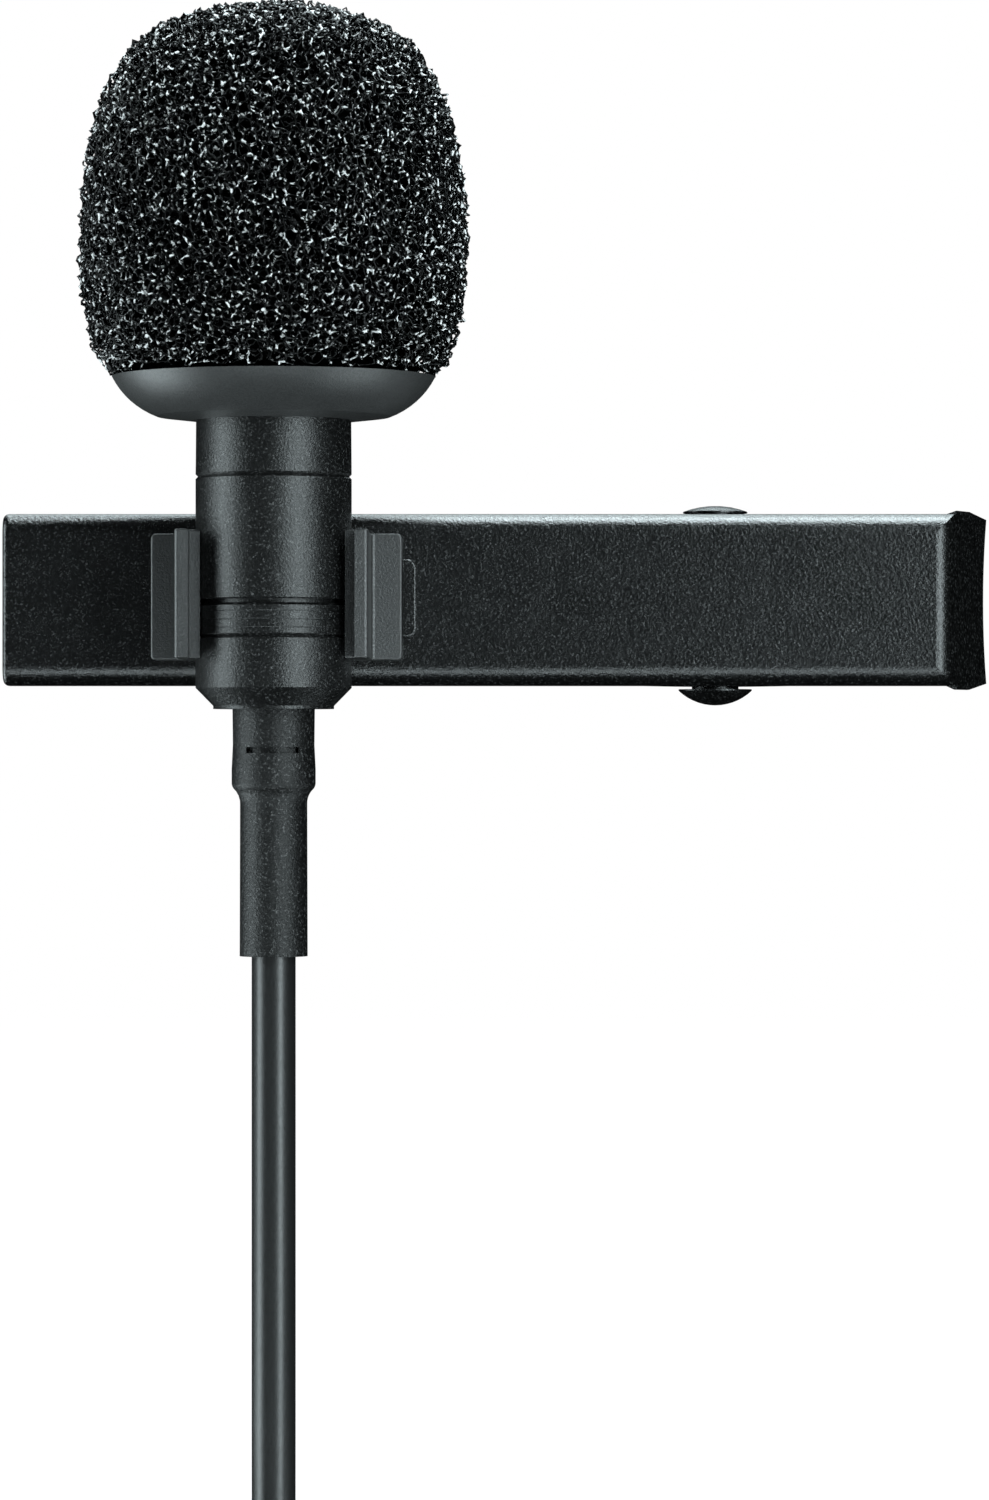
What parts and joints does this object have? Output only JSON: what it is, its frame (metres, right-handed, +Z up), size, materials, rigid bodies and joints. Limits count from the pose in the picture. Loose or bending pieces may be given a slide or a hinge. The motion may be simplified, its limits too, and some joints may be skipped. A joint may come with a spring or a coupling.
{
  "type": "lavalier microphone",
  "caption": "Small cylindrical lapel microphone with a foam windscreen, held upright in a C-shaped holder on a sprung tie clip, with its lead coiled below and ending in a jack plug.",
  "frame": {"origin": "between the clip's teeth and its front plate, where the garment is held", "axes": "+X along the clip towards its thumb end, +Y into the garment, +Z up along the microphone"},
  "size_m": [0.0544, 0.0246, 0.1646],
  "materials": {
    "foam": "open-cell reticulated foam",
    "collar_plastic": "fine matte",
    "mic_body": "fine-grained matte coat",
    "steel_mesh": "woven",
    "felt": "felt",
    "capsule_metal": "drawn",
    "black_rubber": "matte",
    "contact_metal": "gold plated",
    "clear_film": "metallised film",
    "insulator": "moulded",
    "circuit_board": "solder mask",
    "red_wire": "extruded",
    "holder_metal": "fine-grained matte coat",
    "clip_metal": "satin black, slightly orange-peeled",
    "spring_steel": "drawn wire",
    "cord_jacket": "satin",
    "tie_fabric": "woven hook-and-loop",
    "plug_shell": "satin black"
  },
  "bodies": {
    "clip": {"clip_front_plate": "clip_metal", "mic_holder": "holder_metal", "holder_rivet": "spring_steel", "clip_pivot_pin": "clip_metal", "clip_torsion_spring": "spring_steel"},
    "lever": {"clip_rear_lever": "clip_metal"},
    "microphone": {"grille_cap": "mic_body", "dust_mesh": "steel_mesh", "felt_disc": "felt", "capsule_can": "capsule_metal", "capsule_gasket": "black_rubber", "diaphragm_ring": "contact_metal", "diaphragm": "clear_film", "diaphragm_spacer": "insulator", "backplate": "contact_metal", "backplate_insulator": "insulator", "capsule_board": "circuit_board", "capsule_transistor": "insulator", "signal_wire": "red_wire", "ground_wire": "insulator", "head_sleeve": "mic_body", "main_barrel": "mic_body", "trim_ring": "mic_body", "tail_housing": "mic_body", "strain_relief": "black_rubber", "cable_crimp": "spring_steel", "cord": "cord_jacket", "cord_tail": "cord_jacket", "cord_coil": "cord_jacket", "cable_tie": "tie_fabric", "plug_strain_relief": "black_rubber", "plug_handle": "plug_shell", "plug_sleeve": "contact_metal", "plug_insulator_upper": "insulator", "plug_ring": "contact_metal", "plug_insulator_lower": "insulator", "plug_tip": "contact_metal"},
    "windscreen": {"foam_windscreen": "foam", "windscreen_collar": "collar_plastic"}
  },
  "joints": [
    {"name": "jaw_hinge", "type": "hinge", "parent": "clip", "child": "lever", "pos_m": [0.0349, 0.00295, 0], "axis": [0, 0, -1], "range_deg": [0, 16], "stiffness_Nm_per_rad": 0.12, "springref_deg": -28.65, "deforming": ["clip_torsion_spring"]},
    {"name": "mic_slide", "type": "slide", "parent": "clip", "child": "microphone", "axis": [0, 0, 1], "range_m": [-0.0042, 0.0045]},
    {"name": "windscreen_pull", "type": "slide", "parent": "microphone", "child": "windscreen", "axis": [0, 0, 1], "range_m": [0, 0.012]}
  ]
}
